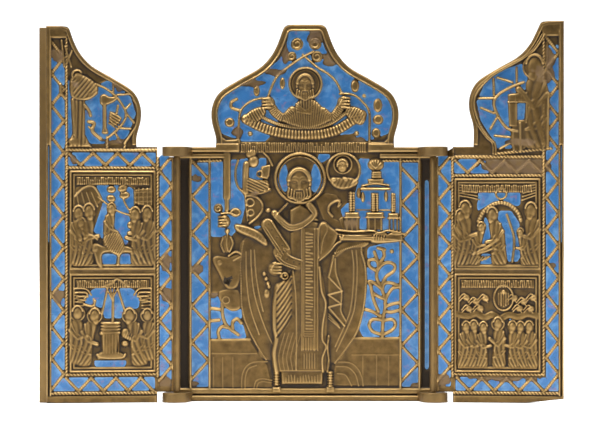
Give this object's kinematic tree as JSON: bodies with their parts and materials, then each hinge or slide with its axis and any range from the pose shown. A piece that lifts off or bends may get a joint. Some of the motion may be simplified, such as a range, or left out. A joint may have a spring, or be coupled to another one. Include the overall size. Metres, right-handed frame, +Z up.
{
  "type": "triptych altarpiece",
  "caption": "Folding cast brass icon with a shaped crest, two hinged wings, relief figures and blue enamel, standing open on its own feet.",
  "frame": {"origin": "on the underside of the central leaf, at the middle of its width, below the enamel ground", "axes": "+X to the right seen from the picture side, +Y to the back, +Z up; the pictures face -Y"},
  "size_m": [0.1977, 0.0146, 0.1436],
  "materials": {
    "brass": "old cast brass, brown in the hollows, rubbed bright on the high carving",
    "pin_brass": "rubbed brass",
    "enamel": "opaque blue champleve enamel, satin, chipped and partly lost"
  },
  "bodies": {
    "centre": {"central_leaf": "brass", "hinge_pin_left_top": "pin_brass", "hinge_pin_left_bottom": "pin_brass", "hinge_pin_right_top": "pin_brass", "hinge_pin_right_bottom": "pin_brass"},
    "left": {"left_wing": "brass"},
    "right": {"right_wing": "brass"}
  },
  "joints": [
    {"name": "left_hinge", "type": "hinge", "parent": "centre", "child": "left", "pos_m": [-0.0489, -0.00505, 0.048], "axis": [0, 0, 1], "range_deg": [-16, 174]},
    {"name": "right_hinge", "type": "hinge", "parent": "centre", "child": "right", "pos_m": [0.0489, -0.00505, 0.048], "axis": [0, 0, -1], "range_deg": [-16, 174]}
  ]
}
